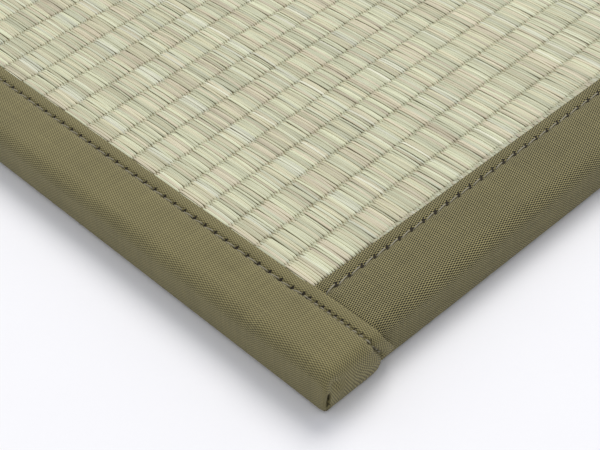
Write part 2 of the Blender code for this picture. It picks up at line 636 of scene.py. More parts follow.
@dataclass(frozen=True)
class MatSizes:
    """Sizes of the mat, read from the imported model."""

    half: float
    end_reach: float
    side_width: float
    end_width: float
    crown: float

    @classmethod
    def read(cls) -> "MatSizes":
        """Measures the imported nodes.

        Returns:
            The sizes.
        """
        side_low, side_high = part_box("side_border_front")
        end_low, end_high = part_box("end_border_left")
        return cls(-side_low.y, -end_low.y, side_high.y - side_low.y, end_high.x - end_low.x, side_high.z)


@dataclass(frozen=True)
class Section:
    """Cross-section of a border: its folded edge, margin, seam, padded top, face and underside."""

    width: float
    crown: float
    seam: float = 5.4 * MM  # from the folded edge
    margin_drop: float = 0.8 * MM
    seam_drop: float = 1.25 * MM
    pull: float = 0.35 * MM  # how much deeper the seam is where the thread goes down
    pad_run: float = 4.5 * MM
    pull_reach: float = 1.6 * MM
    pull_start: float = 0.6 * MM  # past the seam, where the padded top follows the pull
    pad_share: float = 0.35  # of the pull, in the padded top
    widening: float = 0.5  # how much wider the groove is where the thread goes down
    groove: float = 0.75 * MM
    top_round: float = 6.0 * MM
    bottom_round: float = 3.5 * MM
    fold: float = 0.4 * MM
    fold_turns: tuple[float, ...] = (0.0, 40.0, 75.0)  # degrees up the folded edge's rounding
    hem: float = 0.7 * MM  # how far the cloth turns down behind its folded edge
    floor_gap: float = 0.02 * MM
    # Distances from the folded edge where the top is cut, up to where it rounds off
    cuts: tuple[float, ...] = (
        0.0020, 0.0040, 0.0048, 0.0053, 0.0057, 0.0062, 0.0071, 0.0086, 0.0110, 0.0160, 0.0205,
    )
    arc_steps: int = 6

    def drop(self, from_fold: float, pull: float) -> float:
        """Works out how far the top lies below the crown.

        Args:
            from_fold: distance from the folded edge.
            pull: 0 midway between two stitches, 1 where the thread goes down.

        Returns:
            The drop.
        """
        near_seam = self.seam + self.pull_start
        margin = self.margin_drop * (1.0 - smooth(self.seam, self.seam + self.pad_run, from_fold))
        spread = self.groove if from_fold < self.seam else self.groove * (1.0 + self.widening * pull)
        dip = (self.seam_drop - self.margin_drop) + self.pull * pull
        dip *= math.exp(-(((from_fold - self.seam) / spread) ** 2))
        pad_pull = self.pad_share * self.pull * pull * smooth(self.seam, near_seam, from_fold)
        pad_pull *= 1.0 - smooth(near_seam, self.seam + 2.0 * self.pull_reach, from_fold)
        return margin + dip + pad_pull

    def arc(
        self, centre: tuple[float, float], radius: float, start: float, end: float
    ) -> list[tuple[float, float]]:
        """Returns (inward, z) points along an arc, its angles in degrees, both ends included."""
        turns = (math.radians(start + (end - start) * i / self.arc_steps) for i in range(self.arc_steps + 1))
        return [(centre[0] + radius * math.cos(turn), centre[1] + radius * math.sin(turn)) for turn in turns]

    def skin(self, pull: float, set_back: float = 0.0, hem: Optional[float] = None) -> list[Point]:
        """Points from under the folded edge over the top to the head of the outer face.

        Args:
            pull: how hard the stitches pull here, 0 to 1.
            set_back: how far the outer face is drawn in here.
            hem: how far the cloth turns down behind its folded edge, where it isn't as usual.

        Returns:
            (inward, drop, fallen) points, where drop is the depth below the padded crown and
            fallen is how far the edge of the mat has rounded off.
        """
        down = self.margin_drop + (self.hem if hem is None else hem)
        points = [(self.width - 0.35 * self.fold, down, 0.0)]
        for turn in self.fold_turns:
            side, up = math.cos(math.radians(turn)), math.sin(math.radians(turn))
            inward = self.width - self.fold * (1.0 - side)
            points.append((inward, self.margin_drop + self.fold * (1.0 - up), 0.0))
        points += [(self.width - cut, self.drop(cut, pull), 0.0) for cut in self.cuts]
        outer = self.arc((self.top_round + set_back, -self.top_round), self.top_round, 90.0, 180.0)
        return points + [(inward, 0.0, -z) for inward, z in outer]

    def top(self, top: float, pull: float) -> list[tuple[float, float]]:
        """Returns (inward, z) points over the top, for a crown at this height."""
        return [(inward, top - drop - fallen) for inward, drop, fallen in self.skin(pull)]

    def under(self, bottom: float, set_back: float = 0.0) -> list[tuple[float, float]]:
        """Points from the foot of the outer face to the folded edge underneath.

        Args:
            bottom: the underside's height here.
            set_back: how far the outer face is drawn in here.

        Returns:
            (inward, z) points.
        """
        low = bottom + self.floor_gap
        centre = (self.bottom_round + set_back, low + self.bottom_round)
        turned = self.arc(centre, self.bottom_round, 180.0, 270.0)
        flat = [(0.5 * self.width, low), (self.width - self.fold, low)]
        return turned + flat + [(self.width, low + self.fold)]

    def run_across(self) -> list[float]:
        """Returns the running length across the even strip, for its weave and its width."""
        return lengths(self.top(self.crown, 0.0) + self.under(0.0))


@dataclass
class Sewing:
    """Lockstitch seams: thread from hole to hole and the needle holes between, as dark patches of painted
    shade.
    """

    thread_radius: float = 0.36 * MM
    thread_sides: int = 6
    slant: float = math.radians(8.0)
    thread_rise: float = 0.42 * MM
    stitch_gap: float = 1.0 * MM  # between the ends of two threads
    hole_length: float = 2.7 * MM
    hole_width: float = 1.2 * MM
    hole_sides: int = 10
    hole_slant: float = math.radians(50.0)
    hole_rise: float = 0.10 * MM
    unevenness: float = 0.25
    # Path of a thread: (share of the stitch's length, rise, share of the radius)
    thread_path: tuple[Point, ...] = (
        (-0.50, -0.55 * MM, 0.55), (-0.42, -0.10 * MM, 0.95), (-0.15, 0.10 * MM, 1.0),
        (0.15, 0.10 * MM, 1.0), (0.42, -0.10 * MM, 0.95), (0.50, -0.55 * MM, 0.55),
    )
    thread: bpy.types.Object = field(init=False)
    hole: bpy.types.Object = field(init=False)
    tree: bpy.types.NodeTree = field(init=False)

    def __post_init__(self) -> None:
        """Builds the two shapes that repeat and the tree that lays them."""
        self.thread = self.thread_shape()
        self.hole = self.hole_shape()
        self.tree = self.laying_tree()

    def thread_shape(self) -> bpy.types.Object:
        """Builds one stitch along X, its ends bent down into the cloth.

        Returns:
            An object that only the tree uses.
        """
        sides = self.thread_sides
        points = []
        for share, rise, size in self.thread_path:
            for side in range(sides):
                turn, radius = 2.0 * math.pi * side / sides, self.thread_radius * size
                points.append((share, radius * math.cos(turn), rise + radius * math.sin(turn)))
        faces = [tuple(range(sides)), tuple(reversed(range(len(points) - sides, len(points))))]
        for ring in range(0, len(points) - sides, sides):
            for side in range(sides):
                a, b = ring + side, ring + (side + 1) % sides
                faces.append((a, a + sides, b + sides, b))
        return self.pattern("stitch_pattern", points, faces)

    def hole_shape(self) -> bpy.types.Object:
        """Builds one needle hole's painted shade: a slanted flat dark lens that follows the seam's groove.

        Returns:
            An object that only the tree uses.
        """
        sides = self.hole_sides
        slant_cos, slant_sin = math.cos(self.hole_slant), math.sin(self.hole_slant)
        points = [(0.0, 0.0, 0.05)]
        for side in range(sides):
            turn = 2.0 * math.pi * side / sides
            x, y = 0.5 * self.hole_length * math.cos(turn), 0.5 * self.hole_width * math.sin(turn)
            across = x * slant_sin + y * slant_cos
            up_groove = 1.0 - math.exp(-((across / Section.groove) ** 2))
            points.append((x * slant_cos - y * slant_sin, across, up_groove))
        faces = [(0, side + 1, (side + 1) % sides + 1) for side in range(sides)]
        return self.pattern("hole_pattern", points, faces)

    @staticmethod
    def pattern(name: str, points: list[Point], faces: list[tuple[int, ...]]) -> bpy.types.Object:
        """Keeps a shape for the tree to repeat.

        Args:
            name: the shape's name.
            points: its corners.
            faces: the numbers of each face's corners.

        Returns:
            An object that only the tree uses.
        """
        mesh = new_mesh(name, points, faces)
        mesh.shade_smooth()
        return keep(name, mesh)

    @staticmethod
    def laying_tree() -> bpy.types.NodeTree:
        """Builds the tree that repeats a shape along a seam.

        Returns:
            The tree, with named inputs.
        """
        n, given = start_tree("lay_along_seam", {
            "Seam": "Geometry", "Shape": "Object", "Spacing": "Float", "Length": "Float", "Slant": "Float",
            "Unevenness": "Float", "Up": "Vector", "Depth": "Float", "Finish": "Material", "Seed": "Int",
        })
        tangent = n.node("GeometryNodeInputTangent").outputs[0]
        stored = {"Geometry": given["Seam"], "Name": "run", "Value": tangent}
        seam = n.node("GeometryNodeStoreNamedAttribute", stored, data_type="FLOAT_VECTOR").outputs[0]
        spaced = {"Curve": seam, "Length": given["Spacing"]}
        points = n.node("GeometryNodeCurveToPoints", spaced, mode="LENGTH").outputs[0]
        run = n.node("GeometryNodeInputNamedAttribute", {"Name": "run"}, data_type="FLOAT_VECTOR").outputs[0]
        axes = {"Primary Axis": run, "Secondary Axis": given["Up"]}
        aligned = n.node("FunctionNodeAxesToRotation", axes, primary_axis="X", secondary_axis="Z")
        turn = n.random(-1.0, 1.0, given["Seed"])
        about = n.vector(z=n.times(turn, n.times(given["Unevenness"], 0.35), given["Slant"]))
        turns = {0: aligned.outputs[0], 1: about}
        turned = n.node("FunctionNodeRotateRotation", turns, rotation_space="LOCAL").outputs[0]
        size = n.random(0.92, 1.05, n.plus(given["Seed"], 9))
        scale = n.vector(n.times(given["Length"], size), size, given["Depth"])
        shape = n.node("GeometryNodeObjectInfo", {"Object": given["Shape"]}).outputs["Geometry"]
        placing = {"Points": points, "Instance": shape, "Rotation": turned, "Scale": scale}
        laid = n.node("GeometryNodeInstanceOnPoints", placing).outputs[0]
        return end_tree(n, laid, given["Finish"])

    @staticmethod
    def seam_curve(name: str, path: Sequence[Vector], start: float, lift: Vector) -> bpy.types.Curve:
        """Builds a seam's line as a curve.

        Args:
            name: the curve's name.
            path: the line's points.
            start: how far along the line the curve starts.
            lift: how far it is moved off the line.

        Returns:
            The curve.
        """
        points = [spot + lift for spot in path]
        points[0] = points[0] + (points[1] - points[0]).normalized() * start
        line = bpy.data.curves.new(name, "CURVE")
        line.dimensions = "3D"
        spline = line.splines.new("POLY")
        spline.points.add(len(points) - 1)
        for point, spot in zip(spline.points, points):
            point.co = (*spot, 1.0)
        return line

    def sew(
        self, name: str, path: Sequence[Vector], pitch: float, seed: int, section: Section,
        up: Vector = Vector((0.0, 0.0, 1.0)),
    ) -> list[bpy.types.Object]:
        """Sews one seam.

        Args:
            name: what the seam's pieces are called.
            path: the seam's line, at the foot of its groove midway between its waves.
            pitch: length of one stitch.
            seed: for the stitches' unevenness.
            section: the border's section, for the depth of its groove.
            up: the way that the thread's upper side faces.

        Returns:
            The thread and the needle holes' painted shade.
        """
        depth = section.seam_drop - section.margin_drop + section.pull
        thread_length, hole_rise = pitch - self.stitch_gap, self.hole_rise - 0.4 * section.pull
        # Kind, shape, start in stitches, length, slant, finish, lift and height of a shape
        jobs = (
            ("stitches", self.thread, 0.5, thread_length, self.slant, Plain.THREAD, self.thread_rise, 1.0),
            ("holes", self.hole, 0.0, 1.0, 0.0, Plain.HOLE, hole_rise, depth),
        )
        sewn = []
        for kind, shape, start, length, slant, finish, lift, height in jobs:
            curve = self.seam_curve(f"{name}_{kind}_line", path, start * pitch, lift * up)
            inputs = {
                "Shape": shape, "Spacing": pitch, "Length": length, "Slant": slant, "Up": tuple(up),
                "Unevenness": self.unevenness, "Depth": height, "Seed": seed,
                "Finish": finish.value.material(),
            }
            sewn.append(laid_by_nodes(f"{name}_{kind}", self.tree, inputs, curve))
        return sewn

    def put_away(self) -> None:
        """Removes the shapes that only the tree used."""
        for shape in (self.thread, self.hole):
            bpy.data.objects.remove(shape, do_unlink=True)


@dataclass
class Border:
    """What the side and end borders share: cloth, stitches and how they are dressed and attached."""

    name: str  # the CAD node that the border replaces
    sizes: MatSizes
    section: Section
    turned: bool  # whether it lies at the far side, half a turn round
    cloth: float = 0.7 * MM
    wanted_pitch: float = 6.2 * MM
    steps: int = 3  # rows of points for each stitch
    waviness: float = 0.28 * MM
    broad_wave: float = 45.0 * MM
    fine_wave: float = 14.0 * MM
    fine_share: float = 0.36  # height of the fine waves, to the broad ones'
    still: float = 5.0 * MM  # height over which the waves come in, from the floor up
    finish: Cloth = Cloth.SIDES
    turn: Matrix = field(init=False)
    pitch: float = field(init=False)

    def __post_init__(self) -> None:
        """Works out the border's turn and the length of its even stitches."""
        self.turn = Matrix.Rotation(math.pi if self.turned else 0.0, 4, "Z")
        self.pitch = self.sewn_half / round(self.sewn_half / self.wanted_pitch)

    @property
    def sewn_half(self) -> float:
        """Half the length that is sewn with a whole number of even stitches."""
        raise NotImplementedError

    def pull_at(self, along: float) -> float:
        """Returns 1 where the thread goes down and 0 midway between."""
        return (0.5 + 0.5 * math.cos(2.0 * math.pi * along / self.pitch)) ** 1.5

    def wave(self, along: float, inward: float, z: float) -> float:
        """Works out how far the cloth stands off its even shape.

        Args:
            along: place along the border.
            inward: distance from the outer face.
            z: height.

        Returns:
            The distance, outwards.
        """
        start = along + len(self.name) + 0.5 * self.turned
        broad = uneven((start, inward, z), self.broad_wave, self.waviness)
        return broad + uneven((start + 3.0, inward, z), self.fine_wave, self.fine_share * self.waviness)

    def thicken(self, skin: bpy.types.Mesh) -> bpy.types.Object:
        """Turns the outer skin into cloth with a real thickness, none of it below the floor.

        Args:
            skin: the outer skin, its faces pointing out.

        Returns:
            The finished cloth.
        """
        skin.transform(self.turn)
        piece = thickened(self.name + "_cloth", skin, self.cloth)
        for spot in piece.data.vertices:
            spot.co.z = max(spot.co.z, self.section.floor_gap)
        return piece

    def declare(self, cloth: bpy.types.Object, sewing: Sequence[bpy.types.Object], length: float) -> None:
        """Dresses the cloth, attaches it and its sewing to the body, hides the solid that it replaces and
        logs its size.

        Args:
            cloth: the border's cloth.
            sewing: its stitches and needle holes.
            length: length of the cut strip.
        """
        flat = (self.section.run_across()[-1], length)
        dress(cloth, self.finish.value.material())
        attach(cloth, BODY)
        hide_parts(self.name)
        for piece in sewing:
            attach(piece, BODY)
        faces = len(cloth.data.polygons)
        log.info("%s: %d faces, strip %.0f x %.0f mm", cloth.name, faces, flat[0] / MM, flat[1] / MM)


@dataclass
class SideBorder(Border):
    """A border along X, pressed down where the end borders lap over it."""

    wanted_pitch: float = 6.8 * MM
    waviness: float = 0.24 * MM
    tuck: float = 8.0 * MM  # how far it reaches under an end border
    press: float = 0.7 * MM
    press_run: float = 2.6 * MM
    press_under: float = 1.5 * MM
    under_lift: float = 1.1 * MM  # room under its ends for the end borders' cloth
    lift_run: float = 2.2 * MM

    @property
    def sewn_half(self) -> float:
        """Half the length between the end borders."""
        return self.sizes.half - self.sizes.end_width

    def pressed(self, x: float) -> float:
        """Returns how far the top is pressed down at x, near and under the laps."""
        near = smooth(self.sewn_half - self.press_run, self.sewn_half, abs(x))
        return self.press * (near + smooth(self.sewn_half, self.sewn_half + self.press_under, abs(x)))

    def row(self, x: float) -> list[Spot]:
        """Works out one row of spots across the strip.

        Args:
            x: the row's place along the border.

        Returns:
            The spots, from the folded edge on top to the one underneath.
        """
        top = self.section.top(self.section.crown - self.pressed(x), self.pull_at(x))
        lift = self.under_lift * smooth(self.sewn_half - self.lift_run, self.sewn_half, abs(x))
        spots = []
        for (inward, z), across in zip(top + self.section.under(lift), self.section.run_across()):
            wave = self.wave(x, inward, z)
            upper = smooth(0.3 * self.section.crown, 0.8 * self.section.crown, z)
            side = 1.0 - smooth(0.0, self.section.top_round, inward)
            y = -self.sizes.half + inward - wave * side * smooth(0.0, self.still, z)
            spots.append((x, y, z + wave * upper * (1.0 - side), x, across))
        return spots

    def build(self, sewing: Sewing) -> None:
        """Builds the cloth and its seam.

        Args:
            sewing: makes the stitches.
        """
        lap = self.sewn_half
        reach = lap + self.tuck
        step = self.pitch / self.steps
        count = int(reach / step)
        places = [-reach] + [step * i for i in range(-count, count + 1)] + [reach]
        cloth = self.thicken(grid_mesh(self.name, [self.row(x) for x in places], ClothFinish.uv_map))
        stitches = round(2.0 * lap / self.pitch)
        path = [self.turn @ self.seam_spot(-lap + 0.5 * self.pitch * i) for i in range(2 * stitches + 1)]
        sewn = sewing.sew(self.name, path, self.pitch, 11 if self.turned else 5, self.section)
        self.declare(cloth, sewn, 2.0 * reach)

    def seam_spot(self, x: float) -> Vector:
        """Finds the seam's point, midway in its waves.

        Args:
            x: its place along the border.

        Returns:
            The point.
        """
        inward = self.section.width - self.section.seam
        z = self.section.crown - self.section.drop(self.section.seam, 0.5) - self.pressed(x)
        return Vector((x, -self.sizes.half + inward, z + self.wave(x, inward, z)))


@dataclass
class EndBorder(Border):
    """A border along Y that climbs over the side borders and closes the corners with flaps."""

    finish: Cloth = Cloth.ENDS
    lap_lift: float = 1.15 * MM
    lap_run: float = 6.0 * MM
    flap_stand: float = 2.6 * MM  # how far the flap stands past the solid's own
    draw_in: float = 1.5 * MM  # how much less it stands at its foot
    drift: float = 6.4 * MM  # how far its folded edge swings out on the way down
    rise: float = 4.0 * MM  # how high the foot of its folded edge stays off the floor
    corner_round: float = 1.6 * MM
    tuck: float = 2.2 * MM  # depth of the slot down the corner
    tuck_top: float = 13.5 * MM
    end_turn: float = 4.8 * MM  # rounding of the top into the flap
    turn_rows: int = 8
    flap_rows: int = 9
    foot_rows: int = 3
    dimple_depth: float = 2.1 * MM
    dimple_place: tuple[float, float] = (5.2 * MM, 13.6 * MM)  # inward and up
    dimple_size: tuple[float, float] = (4.2 * MM, 2.3 * MM)  # along and across it
    dimple_lean: float = math.radians(28.0)
    tack_pitch: float = 3.2 * MM
    tack_lift: float = 0.2 * MM  # of the line down the flap
    tack_up: tuple[float, float] = (0.6, 0.8)  # the thread's upper side, out and up
    end_run: tuple[float, float] = (-11.0 * MM, -1.0 * MM)  # where the flap's shape comes in
    foot_run: tuple[float, float] = (2.0 * MM, 13.0 * MM)  # heights where it is drawn in
    drift_across: tuple[float, float] = (0.35, 0.8)  # shares of the width
    drift_down: float = 14.0 * MM
    drift_floor: float = 3.0 * MM
    tuck_run: float = 5.0 * MM  # height over which the slot closes
    tuck_inside: tuple[float, float] = (0.05 * MM, 0.45 * MM)
    tuck_width: float = 0.5 * MM
    lap_sink: float = 1.4 * MM  # how deep the side borders are pressed under the lap
    hem_run: tuple[float, float] = (-1.0 * MM, 2.0 * MM)
    hem_short: float = 0.8 * MM  # how far the hem stops above what it lies on
    settled: float = 12.0 * MM  # length over which the waves die out towards a flap

    @property
    def sewn_half(self) -> float:
        """Half the length between the laps."""
        return self.lap_start

    @property
    def reach(self) -> float:
        """Half the border's length, flaps included."""
        return self.sizes.end_reach + self.flap_stand

    @property
    def lap_start(self) -> float:
        """Where the end border meets the side borders' folded edges."""
        return self.sizes.half - self.sizes.side_width

    def stitch_pull(self, y: float) -> float:
        """Works out the stitches' pull, their holes twice as close over the laps.

        Args:
            y: place along the border.

        Returns:
            The pull, 0 to 1.
        """
        past = abs(y) - self.lap_start
        if past > 0.0:
            return 0.8 * (0.5 + 0.5 * math.cos(2.0 * math.pi * past / self.tack_pitch))
        return self.pull_at(y)

    def crown_at(self, y: float) -> float:
        """Returns the crown's height at y, before the ends round off."""
        climbed = smooth(self.lap_start - self.lap_run, self.lap_start + 1.0 * MM, abs(y))
        return self.section.crown + self.lap_lift * climbed

    def hem_at(self, y: float) -> float:
        """Works out how deep the cloth turns down behind its folded edge, to reach what it lies on.

        Args:
            y: place along the border.

        Returns:
            The depth.
        """
        edge = self.crown_at(y) - self.section.margin_drop
        rounded = fall(self.sizes.half - abs(y), self.section.top_round)
        under = self.section.crown - self.lap_sink - rounded
        start, end = (self.lap_start + run for run in self.hem_run)
        deep = min(edge - under, self.reach - self.section.margin_drop - self.sizes.half)
        return self.section.hem + (deep - self.hem_short) * smooth(start, end, abs(y))

    def shaped(self, inward: float, y: float, z: float, sign: float) -> Point:
        """Gives the end of the border its bulky, slanting shape.

        Args:
            inward: distance from the outer face.
            y: place along the border, always positive.
            z: height.
            sign: -1 at the front, 1 at the back.

        Returns:
            The point in the mat's own frame.
        """
        near = smooth(*self.end_run, y - self.reach)
        foot = 1.0 - smooth(*self.foot_run, z)
        start, end = (share * self.section.width for share in self.drift_across)
        low = smooth(-self.drift_down, 0.0, z - self.section.crown)
        swing = self.drift * (1.0 - low) * smooth(start, end, inward) * near
        swing *= smooth(0.0, self.drift_floor, z)
        slot = self.tuck * near * (1.0 - smooth(self.tuck_top - self.tuck_run, self.tuck_top, z))
        slot *= 1.0 - smooth(*self.tuck_inside, self.reach - y)
        slot *= 1.0 - smooth(self.corner_round, self.corner_round + self.tuck_width, inward)
        x = -self.sizes.half + inward + swing + slot
        return x, sign * (y - self.draw_in * foot * near - slot), z

    def ring(self, y: float, u: float) -> tuple[list[Spot], list[Spot]]:
        """Works out one section of the border.

        Args:
            y: its place along the border.
            u: its place along the cloth.

        Returns:
            Spots over the top, and spots under it.
        """
        sign = math.copysign(1.0, y)
        from_end = self.reach - abs(y)
        set_back = fall(from_end, self.corner_round)
        top = self.crown_at(y) - fall(from_end, self.end_turn)
        turn = math.asin(min(max(1.0 - from_end / self.end_turn, 0.0), 1.0))
        path = []
        for inward, drop, fallen in self.section.skin(self.stitch_pull(y), set_back, self.hem_at(y)):
            z = top - drop * math.cos(turn) - fallen
            path.append((inward, abs(y) - (drop + self.dimple(inward, z)) * math.sin(turn), z))
        count = len(path)
        under = self.section.under(fall(from_end, self.section.bottom_round), set_back)
        path += [(inward, abs(y), z) for inward, z in under[:-3]]
        short = min(abs(y), self.reach - self.draw_in - self.section.bottom_round)
        path += [(inward, short, z) for inward, z in self.section.under(0.0, set_back)[-3:]]
        spots = []
        for (inward, place, z), across in zip(path, self.section.run_across()):
            wave = self.wave(y, inward, z) * smooth(0.0, self.still, z)
            wave *= smooth(0.0, self.settled, from_end)
            side = 1.0 - smooth(0.0, self.section.top_round, inward)
            x, place, z = self.shaped(inward, place, z, sign)
            spots.append((x - wave * side, place, z + wave * (1.0 - side), u, across))
        return spots[:count], spots[count:]

    def flap(self, u: float, sign: float) -> list[list[Spot]]:
        """Works out the flap's rows, from the top's last row down and under.

        Args:
            u: the last row's place along the cloth.
            sign: -1 at the front, 1 at the back.

        Returns:
            Rows of spots, each as long as the top's own.
        """
        radius, width = self.section.bottom_round, self.section.width
        skin = self.section.skin(1.0, self.corner_round, self.hem_at(self.reach))
        start = self.crown_at(self.reach) - self.end_turn
        rows = []
        for step in range(1, self.flap_rows + self.foot_rows + 1):
            row = []
            turn = math.radians(90.0 * max(step - self.flap_rows, 0) / self.foot_rows)
            for (inward, drop, fallen), across in zip(skin, self.section.run_across()):
                lift = self.rise * smooth(width - self.section.seam - 4.0 * MM, width, inward)
                foot = radius + self.section.floor_gap + lift
                z, tucked = foot - radius * math.sin(turn), radius * (1.0 - math.cos(turn))
                if step <= self.flap_rows:
                    z = start - fallen + (foot - start + fallen) * step / self.flap_rows
                y = self.reach - drop - tucked - self.dimple(inward, z)
                spot = self.shaped(inward, max(y, self.sizes.half - 2.6 * MM), z, sign)
                row.append((*spot, u + sign * (start - fallen - z + tucked), across))
            rows.append(row)
        return rows

    def dimple(self, inward: float, z: float) -> float:
        """Works out the slanting dimple in the flap, near the corner.

        Args:
            inward: distance from the outer face.
            z: height.

        Returns:
            Its depth there.
        """
        x, y = inward - self.dimple_place[0], z - self.dimple_place[1]
        lean_cos, lean_sin = math.cos(self.dimple_lean), math.sin(self.dimple_lean)
        along = (x * lean_sin - y * lean_cos) / self.dimple_size[0]
        across = (x * lean_cos + y * lean_sin) / self.dimple_size[1]
        return self.dimple_depth * math.exp(-(along**2) - across**2)

    def places(self) -> list[float]:
        """Works out the rings' places along Y, close together where the border bends.

        Returns:
            The places, from the front to the back.
        """
        step = self.pitch / self.steps
        fine = 0.5 * step
        lap_end = self.reach - self.end_turn
        turns = (math.radians(90.0 * i / self.turn_rows) for i in range(self.turn_rows + 1))
        half_run = [step * i for i in range(round(self.lap_start / step) + 1)]
        half_run += [self.lap_start + fine * i for i in range(1, int((lap_end - self.lap_start) / fine))]
        half_run += [self.reach - self.end_turn * (1.0 - math.sin(turn)) for turn in turns]
        return [-y for y in reversed(half_run[1:])] + half_run

    def build(self, sewing: Sewing) -> None:
        """Builds the cloth with its flaps and its seam.

        Args:
            sewing: makes the stitches.
        """
        places = self.places()
        run = lengths([(y, self.crown_at(y) - fall(self.reach - abs(y), self.end_turn)) for y in places])
        middle = run[len(run) // 2]
        rings = [self.ring(y, u - middle) for y, u in zip(places, run)]
        empty = [None] * len(rings[0][1])
        rows = [row + empty for row in reversed(self.flap(run[0] - middle, -1.0))]
        rows += [over + under for over, under in rings]
        rows += [row + empty for row in self.flap(run[-1] - middle, 1.0)]
        mesh = grid_mesh(self.name, rows, ClothFinish.uv_map)
        mesh.flip_normals()
        cloth = self.thicken(mesh)
        self.declare(cloth, self.sew_seam(sewing), run[-1] + 2.0 * self.section.crown)

    def tack_line(self, sign: float, level: float) -> list[Vector]:
        """Works out the seam's line over a lap and down the flap.

        Args:
            sign: -1 at the front, 1 at the back.
            level: how far the thread lies below the crown.

        Returns:
            The line's points.
        """
        inward = self.section.width - self.section.seam
        line = []
        for i in range(int((self.reach - self.end_turn - self.lap_start) / MM)):
            y = self.lap_start + 1.0 * MM * i
            z = self.crown_at(y) - level
            wave = self.wave(sign * y, inward, z) * smooth(0.0, self.settled, self.reach - y)
            line.append(self.shaped(inward, y, z + wave, sign))
        top = self.crown_at(self.reach) - self.end_turn
        for degrees in range(0, 91, 15):
            side, up = math.sin(math.radians(degrees)), math.cos(math.radians(degrees))
            y = self.reach - self.end_turn + (self.end_turn - level) * side
            line.append(self.shaped(inward, y, top + (self.end_turn - level) * up, sign))
        y = self.reach - self.section.drop(self.section.seam, 1.0) + self.tack_lift
        line += [self.shaped(inward, y, top - 2.0 * MM * i, sign) for i in range(1, 4)]
        return [Vector(spot) for spot in line]

    def sew_seam(self, sewing: Sewing) -> list[bpy.types.Object]:
        """Sews the long seam and the closer stitches over the two laps.

        Args:
            sewing: makes the stitches.

        Returns:
            The sewn pieces.
        """
        inward = self.section.width - self.section.seam
        level = self.section.drop(self.section.seam, 0.5)
        seed = 23 if self.turned else 17
        path = []
        for i in range(2 * round(2.0 * self.lap_start / self.pitch) + 1):
            spot = Vector((-self.sizes.half + inward, -self.lap_start + 0.5 * self.pitch * i, 0.0))
            z = self.crown_at(spot.y) - level
            spot.z = z + self.wave(spot.y, inward, z)
            path.append(self.turn @ spot)
        sewn = sewing.sew(self.name, path, self.pitch, seed, self.section)
        out, rise = self.tack_up
        for sign, label in ((-1.0, "_front_tack"), (1.0, "_back_tack")):
            path = [self.turn @ spot for spot in self.tack_line(sign, level)]
            up = self.turn @ Vector((0.0, out * sign, rise))
            sewn += sewing.sew(self.name + label, path, self.tack_pitch, seed, self.section, up)
        return sewn


